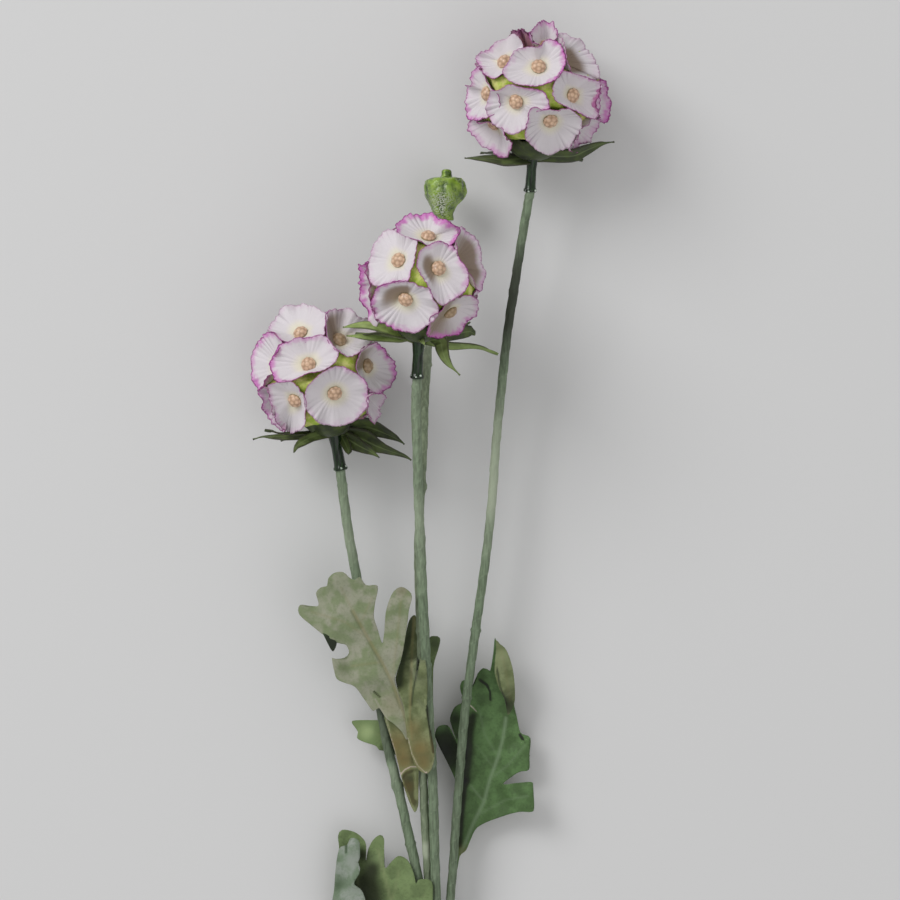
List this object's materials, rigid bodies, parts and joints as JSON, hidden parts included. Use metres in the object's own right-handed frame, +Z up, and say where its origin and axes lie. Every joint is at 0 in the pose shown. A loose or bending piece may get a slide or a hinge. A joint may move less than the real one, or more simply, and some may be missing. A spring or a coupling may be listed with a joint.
{
  "type": "scabiosa flower spray",
  "caption": "Cut scabiosa spray lying flat: globe flower heads of cupped florets, a bud and lobed leaves on slender wired stems joined in one thicker stem.",
  "frame": {"origin": "on the surface that the spray lies on, under the middle of its footprint", "axes": "+Y from the cut end towards the flower heads, +Z up from the surface, +X to the right seen from above"},
  "size_m": [0.1384, 0.586, 0.0791],
  "materials": {
    "petal": "crinkled fabric, white with painted magenta edges",
    "core": "matte yellow-green foam ball",
    "neck": "glossy moulded dark green plastic",
    "bract": "coated dark olive fabric",
    "stem": "waxed sage green paper tape",
    "bud": "glossy green plastic with a white frosting",
    "pale_leaf": "flocked pale sage underside of a fabric leaf",
    "green_leaf": "printed mid green fabric leaf"
  },
  "bodies": {
    "root": {"bud": "bud", "bud_stem": "stem", "centre_bracts": "bract", "centre_core": "core", "centre_lower_florets": "petal", "centre_middle_florets": "petal", "centre_neck": "neck", "centre_stem": "stem", "centre_top_floret": "petal", "centre_upper_florets": "petal", "front_leaf": "pale_leaf", "inner_leaf": "pale_leaf", "left_bracts": "bract", "left_core": "core", "left_lower_florets": "petal", "left_middle_florets": "petal", "left_neck": "neck", "left_stem": "stem", "left_top_floret": "petal", "left_upper_florets": "petal", "low_leaf": "green_leaf", "main_stem": "stem", "rear_leaf": "green_leaf", "right_bracts": "bract", "right_core": "core", "right_leaf": "green_leaf", "right_lower_florets": "petal", "right_middle_florets": "petal", "right_neck": "neck", "right_stem": "stem", "right_top_floret": "petal", "right_upper_florets": "petal", "stem_joint": "stem"}
  },
  "joints": []
}
